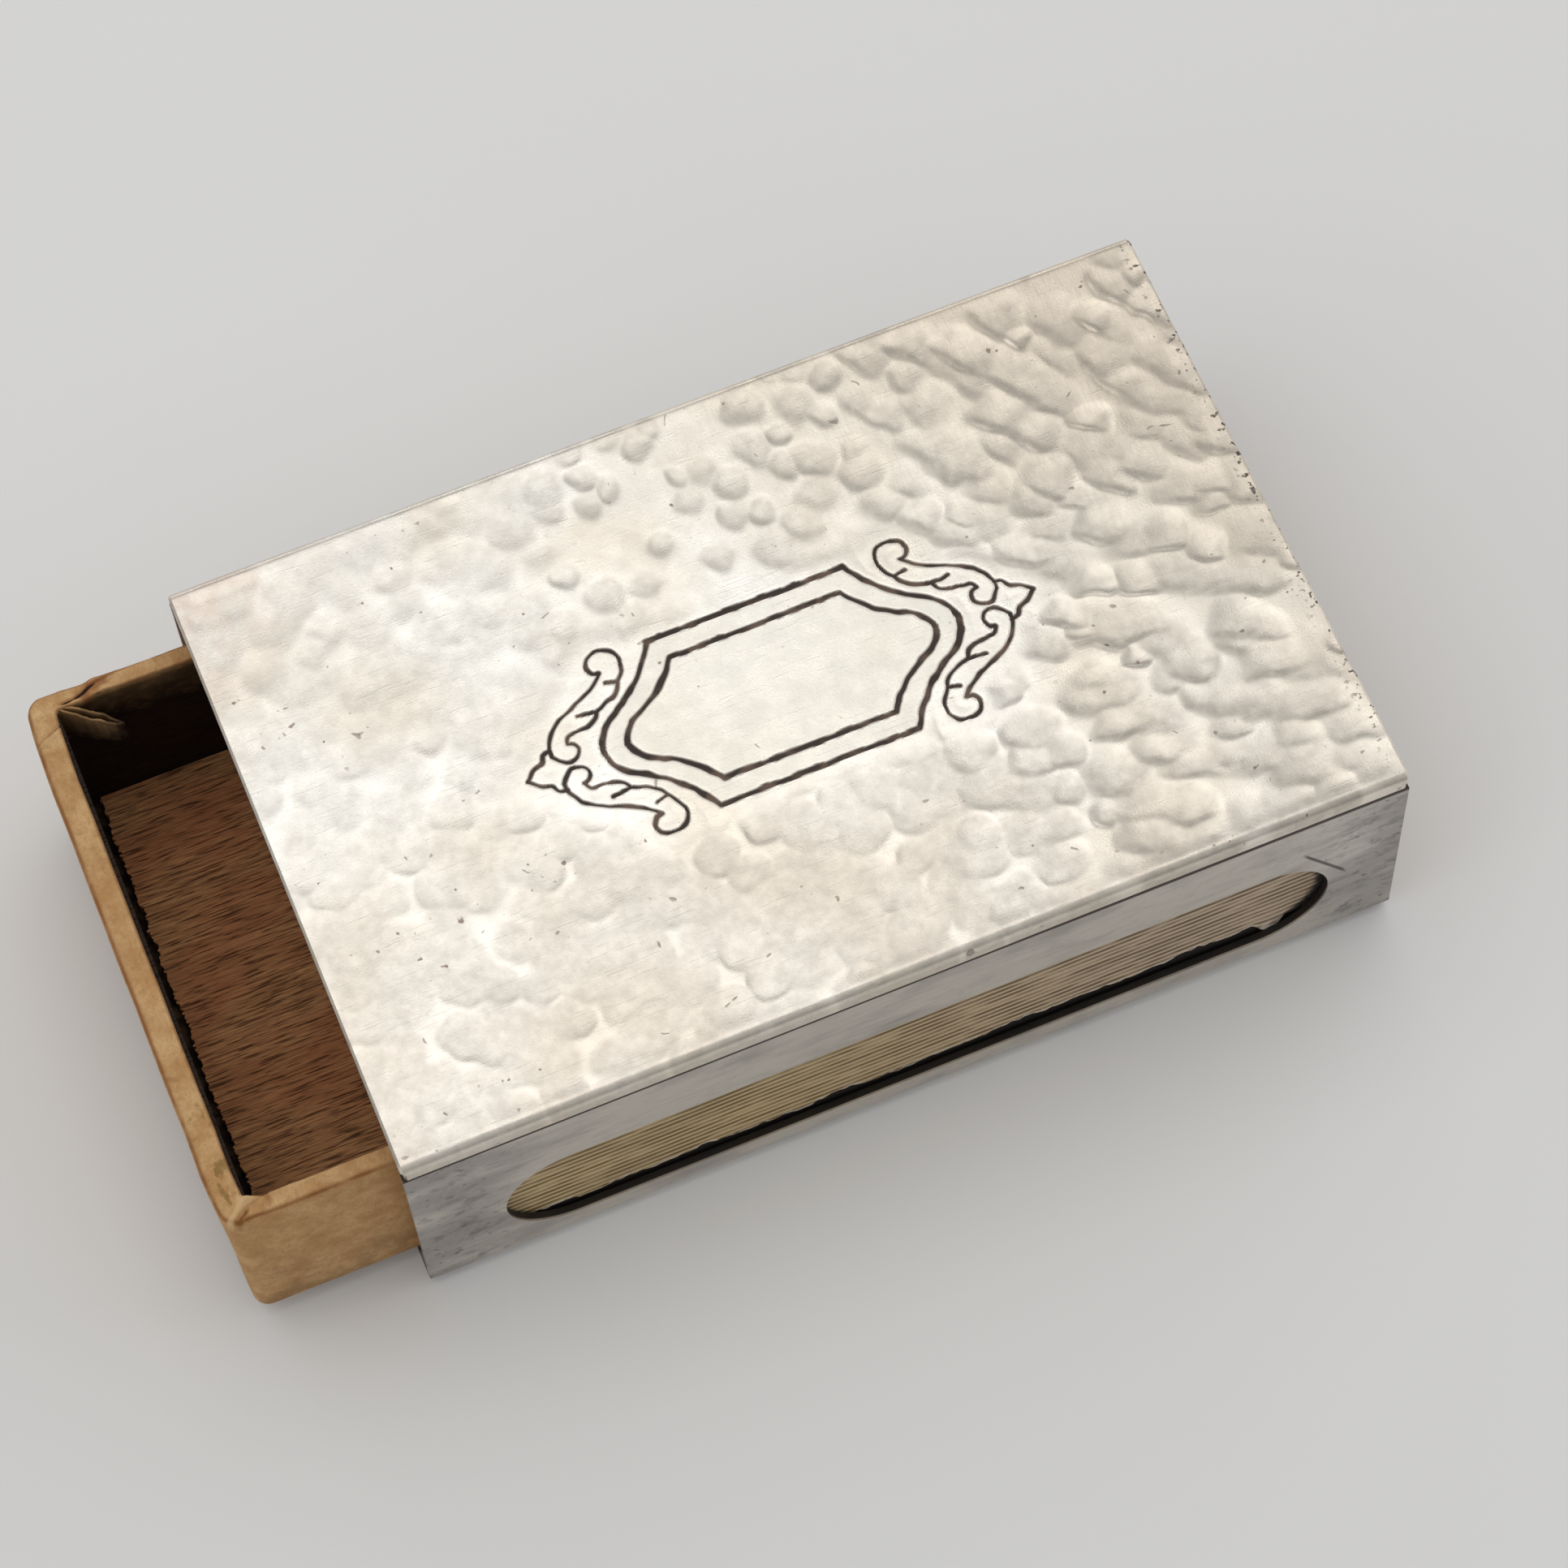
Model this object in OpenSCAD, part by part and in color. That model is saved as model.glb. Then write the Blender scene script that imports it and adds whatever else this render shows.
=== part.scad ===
// Matchbox holder: a hammered silver cover, open at both ends, slipped over a matchbox.
// The matchbox is a folded veneer sleeve with a paper-wrapped tray that slides in it.
// X runs along the length and the tray comes out at -X. The front side wall is at -Y. Z is up.
// The origin is the middle of the cover's underside.

/* [Cover] */
// Length of the cover, along the way that the tray slides
cover_len = 57.5; // [52:0.5:70]
// Width of the cover over its side walls
cover_w = 37; // [28:0.5:45]
// Height of the cover
cover_h = 16.8; // [14:0.1:30]
// Thickness of the silver sheet
sheet_t = 0.5; // [0.3:0.05:0.8]
// Inner radius of the bends along the top plate's long edges
top_bend_r = 0.4; // [0.1:0.05:0.8]
// Straight drop of those edges, from the bend down to the soldered seam
top_edge_drop = 0.4; // [0.1:0.05:1.5]
// Inner radius of the bends along the floor
floor_bend_r = 0.8; // [0.2:0.05:1.1]
// Corner radius of the top plate, seen from above
top_corner_r = 0.5; // [0.1:0.05:1.5]

/* [Striking slots] */
// Length of the slot in each side wall
slot_len = 48.4; // [20:0.2:50]
// Height of the slot
slot_h = 8.1; // [4:0.1:9]
// Height of the slot's lower lip over the cover's underside
slot_low = 2.5; // [1.8:0.1:3.5]
// Distance of the slot's middle from the cover's middle, towards the closed end
slot_shift = 0.4; // [-1:0.1:1]

/* [Hammering] */
// Distance between the middles of neighbouring hammer marks
mark_pitch = 3.3; // [3:0.1:5]
// Depth of a hammer mark
mark_depth = 0.09; // [0.03:0.01:0.15]
// Radius of the hammer's rounded face
hammer_r = 12; // [6:0.5:15]
// Farthest that a mark strays from its place in the pattern
mark_stray = 0.45; // [0:0.05:0.8]

/* [Engraving] */
// Length of the cartouche between its rounded tips
cartouche_len = 20.7; // [16:0.1:24]
// Width of the cartouche
cartouche_w = 10.7; // [8:0.1:14]
// Distance between the cartouche's two lines
line_gap = 1.4; // [0.8:0.1:2]
// Width of the cartouche's lines
line_w = 0.26; // [0.1:0.02:0.5]
// Width of the scrolls' lines
scroll_line_w = 0.18; // [0.1:0.02:0.3]
// Depth of all the lines
line_depth = 0.15; // [0.05:0.01:0.2]

/* [Matchbox sleeve] */
// Thickness of the veneer that the sleeve is folded from
sleeve_veneer_t = 0.7; // [0.4:0.05:1.2]
// Thickness of the paper glued round the sleeve
sleeve_paper_t = 0.1; // [0.05:0.01:0.2]
// Inner radius of the veneer's folds
sleeve_fold_r = 0.2; // [0.1:0.05:0.5]
// Distance of the sleeve's ends inside the cover's ends
sleeve_end_inset = 0.25; // [0:0.05:1]
// Thickness of a striking strip
striker_t = 0.1; // [0.05:0.01:0.2]
// Bare height above and below a striking strip
striker_margin = 1.75; // [1.5:0.05:3]

/* [Tray] */
// Distance that the tray stands out of the cover
tray_out = 9.25; // [0:0.25:40]
// Thickness of the tray's two end walls
tray_end_t = 1.3; // [0.6:0.1:2]
// Thickness of the tray's two side walls
tray_side_t = 0.8; // [0.5:0.1:1.5]
// Thickness of the tray's wooden base
tray_base_t = 0.8; // [0.4:0.1:1.5]
// Outer corner radius of the tray, seen from above
tray_corner_r = 0.9; // [0.5:0.05:1.5]
// Rounding along the tray's rim and bottom edges
tray_edge_r = 0.45; // [0.3:0.05:0.6]
// Inner corner radius of the tray's wall strip
tray_inner_r = 0.4; // [0.3:0.05:1]
// Thickness of the kraft paper round the tray
kraft_t = 0.15; // [0.05:0.01:0.25]
// Depth that the kraft paper folds down inside the rim
kraft_fold_in = 3.5; // [1.5:0.1:6]
// Width that the kraft paper folds in under the base
kraft_fold_under = 6; // [2:0.5:10]
// Length of the loose paper tuck that stands in from one corner
tuck_len = 3.4; // [1:0.1:5]
// Width of that tuck, over its two layers
tuck_w = 0.7; // [0.5:0.05:1]
// Height of that tuck
tuck_h = 1.6; // [0.5:0.1:2.5]

/* [Clearances] */
// Gap between a striking strip and the cover's side wall
sleeve_side_gap = 0.15; // [0.05:0.01:0.5]
// Gap between the sleeve and the cover's floor
sleeve_floor_gap = 0.1; // [0.05:0.01:0.3]
// Gap between the sleeve and the cover's top plate
sleeve_top_gap = 0.2; // [0.05:0.01:0.5]
// Gap between the tray and each side of the sleeve
tray_side_gap = 0.3; // [0.1:0.05:0.8]
// Gap between the tray and the sleeve's floor
tray_floor_gap = 0.1; // [0.05:0.01:0.3]
// Headroom between the tray's rim and the sleeve's roof
tray_headroom = 1.2; // [0.3:0.1:3]
// Distance of the closed tray's ends inside the sleeve's ends
tray_end_inset = 0.1; // [0:0.05:1]
// Gap between the base and each end wall of the tray
base_end_gap = 0.6; // [0.1:0.05:1]
// Gap between the base and each side wall of the tray
base_side_gap = 0.1; // [0.05:0.01:0.3]

/* [Hidden] */
$fn = 48;
// Overshoot of a cut past the faces that it opens
cut = 1;

// Cover
seam_z = cover_h - sheet_t - top_bend_r - top_edge_drop;
bore_w = cover_w - 2 * sheet_t;
bore_h = cover_h - 2 * sheet_t;

// Hammering: staggered rows fill the face between the bent edges
mark_r = sqrt(2 * hammer_r * mark_depth - mark_depth * mark_depth);
marked_half_w = cover_w / 2 - sheet_t - top_bend_r - mark_r - mark_stray;
mark_rows = ceil(marked_half_w / (mark_pitch * sqrt(3) / 2));
mark_row_pitch = marked_half_w / mark_rows;
mark_columns = ceil(cover_len / 2 / mark_pitch);
// Least distance from a mark's rim to the ornament
smooth_margin = 0.6;

// Engraving: one quarter of the ornament, drawn for a cartouche of this size and mirrored into the others
drawn_len = 20.7;
drawn_w = 10.7;
// Sloping side of the cartouche, an ogee from its corner down to its tip
ogee = [
    [5.77, 5.35], [6.3, 4.45], [6.9, 3.7], [7.55, 3],
    [8.6, 2.2], [9.57, 1.55], [10.15, 0.75], [10.35, 0]
];
// Scroll: a leaf between a volute beside the bud and a curl that rolls back over the cartouche
leaf_back = [
    [12.98, 0.85], [12.95, 1.4], [12.55, 2.15], [11.95, 2.7],
    [11.2, 3.1], [10.35, 3.45], [9.5, 3.95], [8.8, 4.6]
];
curl = [
    [8.8, 4.6], [9.2, 4.68], [9.4, 5.15], [9.15, 5.65], [8.5, 5.85],
    [7.9, 5.65], [7.55, 5.1], [7.65, 4.4], [8.1, 3.7]
];
upper_lobe = [[8.1, 3.7], [8.3, 3.3], [8.7, 2.95], [9.3, 2.68], [9.8, 2.5]];
lower_lobe = [[9.8, 2.5], [10.05, 2.05], [10.6, 1.8], [11.2, 1.75], [11.75, 1.65], [12, 1.3]];
volute = [[12, 1.3], [11.65, 1.15], [11.5, 0.7], [11.8, 0.3], [12.4, 0.22], [12.98, 0.85]];
upper_vein = [[8.1, 3.7], [8.8, 3.88]];
lower_vein = [[9.8, 2.5], [10.85, 2.62]];
// Half of the bud at the ornament's end
bud = [[12.95, 1.25], [13.4, 1.15], [13.65, 0.75], [14.2, 0.5], [14.75, 0]];
scroll_lines = [leaf_back, curl, upper_lobe, lower_lobe, volute, upper_vein, lower_vein, bud];
curve_steps = 2;
ornament_half_len = cartouche_len / drawn_len * max([for (line = scroll_lines, p = line) p[0]]);
ornament_half_w = cartouche_w / drawn_w * max([for (line = scroll_lines, p = line) p[1]]);

// Sleeve, over its paper but without its striking strips
sleeve_len = cover_len - 2 * sleeve_end_inset;
sleeve_w = bore_w - 2 * (sleeve_side_gap + striker_t);
sleeve_h = bore_h - sleeve_floor_gap - sleeve_top_gap;
sleeve_z = sheet_t + sleeve_floor_gap;
sleeve_wall_t = sleeve_paper_t + sleeve_veneer_t;

// Tray, over its paper
tray_len = sleeve_len - 2 * tray_end_inset;
tray_w = sleeve_w - 2 * (sleeve_wall_t + tray_side_gap);
tray_h = sleeve_h - 2 * sleeve_wall_t - tray_floor_gap - tray_headroom;
tray_x = tray_len / 2 - cover_len / 2 - tray_out;
tray_z = sleeve_z + sleeve_wall_t + tray_floor_gap;
tray_inner_len = tray_len - 2 * (kraft_t + tray_end_t);
tray_inner_w = tray_w - 2 * (kraft_t + tray_side_t);

silver = [0.84, 0.83, 0.79];
veneer = [0.80, 0.66, 0.45];
label_cream = [0.86, 0.80, 0.66];
striker_olive = [0.55, 0.50, 0.36];
base_brown = [0.33, 0.21, 0.14];
kraft = [0.78, 0.62, 0.42];

// Rectangle centred on the origin, with round corners
module round_rect(len, w, r) {
    square([len - 2 * r, w], center = true);
    square([len, w - 2 * r], center = true);
    for (x = [-1, 1], y = [-1, 1])
        translate([x * (len / 2 - r), y * (w / 2 - r)])
            circle(r = r);
}

// Rectangle standing on the first axis, with one radius for its top and one for its bottom corners
module standing_rect(w, h, r_top, r_low) {
    translate([-w / 2, r_low])
        square([w, h - r_top - r_low]);
    translate([-w / 2 + r_low, 0])
        square([w - 2 * r_low, h - r_top]);
    translate([-w / 2 + r_top, r_low])
        square([w - 2 * r_top, h - r_low]);
    for (side = [-1, 1]) {
        translate([side * (w / 2 - r_low), r_low])
            circle(r = r_low);
        translate([side * (w / 2 - r_top), h - r_top])
            circle(r = r_top);
    }
}

// Sweep an outline drawn in Y and Z along X, centred on the origin
module along_x(len) {
    rotate([90, 0, 90])
        linear_extrude(len, center = true)
            children();
}

// Sweep an outline drawn in X and Z along Y, centred on the origin
module along_y(w) {
    rotate([90, 0, 0])
        linear_extrude(w, center = true)
            children();
}

// Section through the whole silver cover, a closed tube that the seam divides
module cover_section() {
    difference() {
        standing_rect(cover_w, cover_h, top_bend_r + sheet_t, floor_bend_r + sheet_t);
        translate([0, sheet_t])
            standing_rect(bore_w, bore_h, top_bend_r, floor_bend_r);
    }
}

// Outline of a striking slot, a straight slot with round ends
module slot_outline() {
    straight = slot_len - slot_h;
    translate([slot_shift, slot_low + slot_h / 2]) {
        square([straight, slot_h], center = true);
        for (side = [-1, 1])
            translate([side * straight / 2, 0])
                circle(r = slot_h / 2);
    }
}

// Repeatable scatter between -1 and 1 for the place (i, j) in a pattern
function scatter(i, j, k) =
    let (v = sin(i * 127.1 + j * 311.7 + k * 74.7) * 43758.5453)
    2 * (v - floor(v)) - 1;

// Lens that one blow of a round-faced hammer leaves, reaching a little over the face all round
module hammer_mark() {
    reach = 1.25 * mark_r;
    lift = 0.2;
    rotate_extrude($fn = 24)
        intersection() {
            translate([0, hammer_r - mark_depth])
                circle(r = hammer_r, $fn = 180);
            translate([0, -cut])
                square([reach, cut + lift]);
        }
}

// True where a mark would run into the smooth oval field round the ornament
function in_field(x, y) =
    let (
        half_len = ornament_half_len + smooth_margin + mark_r,
        half_w = ornament_half_w + smooth_margin + mark_r
    )
    pow(x / half_len, 2) + pow(y / half_w, 2) < 1;

// Marks over the whole plate, each a little astray
module hammering() {
    for (j = [-mark_rows : mark_rows], i = [-mark_columns : mark_columns]) {
        stagger = j % 2 == 0 ? 0 : 0.5;
        x = (i + stagger) * mark_pitch + mark_stray * scatter(i, j, 1);
        y = j * mark_row_pitch + mark_stray * scatter(i, j, 2);
        if (!in_field(x, y))
            translate([x, y, cover_h])
                hammer_mark();
    }
}

// Point between b and c on a smooth curve through a, b, c and d
function curve_point(a, b, c, d, t) =
    (2 * b + (c - a) * t + (2 * a - 5 * b + 4 * c - d) * t * t + (3 * b - a - 3 * c + d) * t * t * t) / 2;

// Points along a smooth curve through a list of points
function smooth(points) =
    let (last = len(points) - 1)
    [
        for (i = [0 : last - 1], s = [0 : curve_steps - 1])
            curve_point(
                points[max(i - 1, 0)], points[i], points[i + 1], points[min(i + 2, last)], s / curve_steps
            ),
        points[last]
    ];

// The drawn points, brought to a cartouche of another length and width
function fitted(points, len, w) = [for (p = points) [p[0] * len / drawn_len, p[1] * w / drawn_w]];

// The same points moved sideways by a distance
function sidestep(points, distance) = [
    for (i = [0 : len(points) - 1])
        let (
            run = points[min(i + 1, len(points) - 1)] - points[max(i - 1, 0)],
            along = run / norm(run)
        )
        points[i] + distance * [-along[1], along[0]]
];

function reversed(points) = [for (i = [len(points) - 1 : -1 : 0]) points[i]];

// Engraved line of one width along a list of points
module stroke(points, width) {
    polygon(concat(sidestep(points, width / 2), reversed(sidestep(points, -width / 2))));
}

// Closed outline of the cartouche, drawn in by a distance from its outer line
module cartouche(inset) {
    slope = smooth(fitted(ogee, cartouche_len - 2 * inset, cartouche_w - 2 * inset));
    right = concat(slope, reversed([for (p = slope) if (p[1] > 0) [p[0], -p[1]]]));
    polygon(concat(right, reversed([for (p = right) [-p[0], p[1]]])));
}

// Engraved line round the cartouche, its middle drawn in by a distance
module cartouche_line(inset) {
    difference() {
        cartouche(inset - line_w / 2);
        cartouche(inset + line_w / 2);
    }
}

// Two cartouche lines, and at each end a bud between two scrolls
module ornament() {
    cartouche_line(0);
    cartouche_line(line_gap);
    for (end = [0, 1], half = [0, 1])
        mirror([end, 0])
            mirror([0, half])
                for (line = scroll_lines)
                    stroke(smooth(fitted(line, cartouche_len, cartouche_w)), scroll_line_w);
}

// Flat top with both long edges bent down to the seam, hammered outside and engraved in the middle
module cover_top_plate() {
    color(silver)
        difference() {
            intersection() {
                along_x(cover_len)
                    cover_section();
                translate([0, 0, seam_z])
                    linear_extrude(cover_h)
                        round_rect(cover_len, cover_w, top_corner_r);
            }
            hammering();
            translate([0, 0, cover_h - line_depth])
                linear_extrude(line_depth + cut)
                    ornament();
        }
}

// Floor and two side walls, bent from one sheet, with a slot in each wall
module cover_channel() {
    color(silver)
        difference() {
            along_x(cover_len)
                cover_section();
            translate([-cover_len / 2 - cut, -cover_w / 2 - cut, seam_z])
                cube([cover_len + 2 * cut, cover_w + 2 * cut, cover_h]);
            along_y(cover_w + 2 * cut)
                slot_outline();
        }
}

// Section of the sleeve's outside, drawn in by a distance from the paper's face
module sleeve_section(inset) {
    r = sleeve_fold_r + sleeve_wall_t - inset;
    translate([0, sleeve_z + inset])
        standing_rect(sleeve_w - 2 * inset, sleeve_h - 2 * inset, r, r);
}

// Tube of folded veneer
module sleeve_shell() {
    color(veneer)
        along_x(sleeve_len)
            difference() {
                sleeve_section(sleeve_paper_t);
                sleeve_section(sleeve_wall_t);
            }
}

// Paper glued round the tube
module sleeve_paper() {
    color(label_cream)
        along_x(sleeve_len)
            difference() {
                sleeve_section(0);
                sleeve_section(sleeve_paper_t);
            }
}

// Striking strip on one side of the sleeve: -1 is the front, 1 is the back
module striker(side) {
    color(striker_olive)
        translate([0, side * (sleeve_w + striker_t) / 2, sleeve_z + sleeve_h / 2])
            cube([sleeve_len, striker_t, sleeve_h - 2 * striker_margin], center = true);
}

// Outside of the tray, drawn in by a distance from the kraft paper's face
module tray_block(inset) {
    len = tray_len - 2 * inset;
    w = tray_w - 2 * inset;
    h = tray_h - 2 * inset;
    corner_r = tray_corner_r - inset;
    edge_r = tray_edge_r - inset;
    translate([tray_x, 0, tray_z + inset])
        intersection() {
            linear_extrude(h)
                round_rect(len, w, corner_r);
            along_x(len)
                standing_rect(w, h, edge_r, edge_r);
            along_y(w)
                standing_rect(len, h, edge_r, edge_r);
        }
}

// Upright prism on the tray's inner outline, drawn in by a distance, between two heights of the tray
module tray_hollow(inset, from_z, to_z) {
    translate([tray_x, 0, tray_z + from_z])
        linear_extrude(to_z - from_z)
            round_rect(tray_inner_len - 2 * inset, tray_inner_w - 2 * inset, tray_inner_r);
}

// Flat wooden base, a little short of the end walls
module tray_base() {
    len = tray_inner_len - 2 * base_end_gap;
    w = tray_inner_w - 2 * base_side_gap;
    color(base_brown)
        translate([tray_x - len / 2, -w / 2, tray_z + kraft_t])
            cube([len, w, tray_base_t]);
}

// Strip bent round the base as the tray's four walls
module tray_wall_strip() {
    color(veneer)
        difference() {
            tray_block(kraft_t);
            tray_hollow(0, -cut, tray_h + cut);
        }
}

// Two layers of loose paper, folded together, standing in from the back corner of the open end
module paper_tuck() {
    overlap = 0.5;
    turn = -33;
    corner = [
        tray_x - tray_inner_len / 2 + kraft_t,
        tray_inner_w / 2 - kraft_t,
        tray_z + tray_h - kraft_t - tuck_h
    ];
    inner_w = tuck_w - 2 * kraft_t;
    translate(corner)
        rotate([0, 0, turn])
            linear_extrude(tuck_h)
                difference() {
                    union() {
                        translate([-overlap, -tuck_w / 2])
                            square([tuck_len + overlap - tuck_w / 2, tuck_w]);
                        translate([tuck_len - tuck_w / 2, 0])
                            circle(r = tuck_w / 2);
                    }
                    translate([0, -inner_w / 2])
                        square([tuck_len - tuck_w / 2, inner_w]);
                    translate([tuck_len - tuck_w / 2, 0])
                        circle(r = inner_w / 2);
                }
}

// Kraft paper outside the walls, over the rim, down inside it and in under the base
module tray_paper() {
    color(kraft) {
        difference() {
            tray_block(0);
            tray_wall_strip();
            tray_hollow(kraft_t, kraft_t, tray_h + cut);
            tray_hollow(0, kraft_t, tray_h - kraft_fold_in);
            tray_hollow(kraft_fold_under, -cut, kraft_t + cut);
        }
        difference() {
            paper_tuck();
            tray_wall_strip();
        }
    }
}

cover_top_plate();
cover_channel();
sleeve_shell();
sleeve_paper();
striker(-1);  // striker_front
striker(1);  // striker_back
tray_base();
tray_wall_strip();
tray_paper();
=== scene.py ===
# Matchbox holder: a hammered silver cover over a pocket matchbox whose tray is pulled partly out.
# Everything is in metres, in the frame of the solids.
# The tray comes out at -X, the front is at -Y, and +Z is up.
import math

import bmesh
import bpy
import numpy as np
from mathutils import Matrix, Vector
from mathutils.kdtree import KDTree


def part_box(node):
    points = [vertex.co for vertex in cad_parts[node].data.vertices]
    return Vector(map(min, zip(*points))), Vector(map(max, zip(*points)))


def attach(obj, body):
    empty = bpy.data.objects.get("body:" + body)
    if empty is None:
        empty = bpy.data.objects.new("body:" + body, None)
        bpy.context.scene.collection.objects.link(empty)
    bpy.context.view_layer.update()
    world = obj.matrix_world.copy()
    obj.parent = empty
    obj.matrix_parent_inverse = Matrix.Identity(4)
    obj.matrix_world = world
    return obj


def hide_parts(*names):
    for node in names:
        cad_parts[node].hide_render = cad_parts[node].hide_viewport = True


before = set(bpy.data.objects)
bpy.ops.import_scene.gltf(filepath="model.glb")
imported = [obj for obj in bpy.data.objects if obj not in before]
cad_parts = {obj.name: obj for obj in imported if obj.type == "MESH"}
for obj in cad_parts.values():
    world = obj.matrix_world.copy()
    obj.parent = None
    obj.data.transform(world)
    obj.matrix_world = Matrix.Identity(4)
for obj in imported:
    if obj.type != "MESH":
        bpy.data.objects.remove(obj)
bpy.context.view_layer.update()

mm = 0.001

# Sizes that the solids give
plate_low, plate_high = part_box("cover_top_plate")
tray_low, tray_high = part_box("tray_paper")
base_low, base_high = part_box("tray_base")
half_len = plate_high.x
half_w = plate_high.y
top_z = plate_high.z
seam_z = plate_low.z

# Sizes of the solids that no box gives
sheet_t = 0.5 * mm
slot_reach = 24.6 * mm
slot_low = 2.5 * mm
slot_high = 10.6 * mm
bend_r = 0.6 * mm
kraft_t = 0.15 * mm

# Engraved ornament: one quarter, in millimetres from its middle, mirrored into the others
ornament_at = (0.1 * mm, -0.13 * mm)
ogee = [
    (0, 5.35), (2.9, 5.35), (5.77, 5.35), (6.3, 4.45), (6.9, 3.7), (7.55, 3), (8.6, 2.2), (9.57, 1.55),
    (10.15, 0.75), (10.35, 0),
]
leaf_back = [
    (12.98, 0.85), (12.95, 1.4), (12.55, 2.15), (11.95, 2.7), (11.2, 3.1), (10.35, 3.45), (9.5, 3.95),
    (8.8, 4.6),
]
curl = [
    (8.8, 4.6), (9.2, 4.68), (9.4, 5.15), (9.15, 5.65), (8.5, 5.85), (7.9, 5.65), (7.55, 5.1),
    (7.65, 4.4), (8.1, 3.7),
]
upper_lobe = [(8.1, 3.7), (8.3, 3.3), (8.7, 2.95), (9.3, 2.68), (9.8, 2.5)]
lower_lobe = [(9.8, 2.5), (10.05, 2.05), (10.6, 1.8), (11.2, 1.75), (11.75, 1.65), (12, 1.3)]
volute = [(12, 1.3), (11.65, 1.15), (11.5, 0.7), (11.8, 0.3), (12.4, 0.22), (12.98, 0.85)]
upper_vein = [(8.1, 3.7), (8.8, 3.88)]
lower_vein = [(9.8, 2.5), (10.85, 2.62)]
bud = [(12.95, 1.25), (13.4, 1.15), (13.65, 0.75), (14.2, 0.5), (14.75, 0)]
scroll_lines = [leaf_back, curl, upper_lobe, lower_lobe, volute, upper_vein, lower_vein, bud]
cartouche_len = 20.7
cartouche_w = 10.7
cartouche_gap = 1.4
cartouche_line_w = 0.30 * mm
scroll_line_w = 0.22 * mm
engraved_depth = 0.07 * mm


# Numbers

def scatter(i, j, k):
    """Repeatable scatter from -1 to 1 for the place (i, j) in pattern k."""
    v = np.sin(i * 127.1 + j * 311.7 + k * 74.7) * 43758.5453
    return 2 * (v - np.floor(v)) - 1


def smooth_step(x):
    x = np.clip(x, 0, 1)
    return x * x * (3 - 2 * x)


def soft_noise(x, y, size, k):
    """Smooth noise from -1 to 1 with lumps of about that size."""
    i, j = np.floor(x / size), np.floor(y / size)
    u, v = smooth_step(x / size - i), smooth_step(y / size - j)
    low = scatter(i, j, k) * (1 - u) + scatter(i + 1, j, k) * u
    high = scatter(i, j + 1, k) * (1 - u) + scatter(i + 1, j + 1, k) * u
    return low * (1 - v) + high * v


def smooth_line(points, step):
    """Points a step apart on a smooth curve through the given points."""
    p = np.array(points, float)
    ends = np.vstack([p[:1], p, p[-1:]])
    out = []
    for a, b, c, d in zip(ends[:-3], ends[1:-2], ends[2:-1], ends[3:]):
        count = max(2, int(np.linalg.norm(c - b) / step))
        t = np.arange(count)[:, None] / count
        square = 2 * a - 5 * b + 4 * c - d
        cube = 3 * b - a - 3 * c + d
        out.append((2 * b + (c - a) * t + square * t**2 + cube * t**3) / 2)
    return np.vstack([*out, p[-1:]])


def srgb(red, green, blue):
    """A colour given from 0 to 255 as it is seen, as Blender's linear colour."""
    seen = np.array([red, green, blue]) / 255
    linear = np.where(seen < 0.04045, seen / 12.92, ((seen + 0.055) / 1.055) ** 2.4)
    return (*linear.tolist(), 1)


# Meshes

def grid_faces(rows, columns, start=0):
    """Quads of a grid of points that are numbered row by row."""
    first = start + np.arange((rows - 1) * columns).reshape(rows - 1, columns)[:, :-1].ravel()
    return np.stack([first, first + 1, first + columns + 1, first + columns], 1).tolist()


def slab_faces(rows, columns):
    """Faces of a slab between two equal grids, the first of which faces outwards."""
    half = rows * columns
    faces = grid_faces(rows, columns)
    faces += [face[::-1] for face in grid_faces(rows, columns, half)]
    edge = list(range(columns))
    edge += [r * columns + columns - 1 for r in range(1, rows)]
    edge += [(rows - 1) * columns + c for c in range(columns - 2, -1, -1)]
    edge += [r * columns for r in range(rows - 2, 0, -1)]
    for a, b in zip(edge, edge[1:] + edge[:1]):
        faces.append([b, a, half + a, half + b])
    return faces


def make_piece(name, points, faces, material, body, slot, *nodes):
    """A smooth-shaded piece that rides on a body and stands for these nodes."""
    mesh = bpy.data.meshes.new(name)
    mesh.from_pydata(np.asarray(points).tolist(), [], faces)
    mesh.shade_smooth()
    mesh.materials.append(material)
    piece = bpy.data.objects.new(name, mesh)
    bpy.context.scene.collection.objects.link(piece)
    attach(piece, body)
    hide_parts(*nodes)
    return piece


def sharpen(piece, angle=40):
    """Keeps the edges that turn more than the angle crisp."""
    piece.data.set_sharp_from_angle(angle=math.radians(angle))


def mask(piece, name, values):
    """Stores a value for each point, which the material reads by its name."""
    made = piece.data.attributes.new(name, "FLOAT", "POINT")
    made.data.foreach_set("value", np.asarray(values, np.float32).ravel())


def weld(piece):
    """Joins the points that lie on each other, and turns all faces outwards."""
    work = bmesh.new()
    work.from_mesh(piece.data)
    bmesh.ops.remove_doubles(work, verts=work.verts, dist=0.001 * mm)
    bmesh.ops.recalc_face_normals(work, faces=work.faces)
    work.to_mesh(piece.data)
    work.free()


# Node materials

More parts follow.
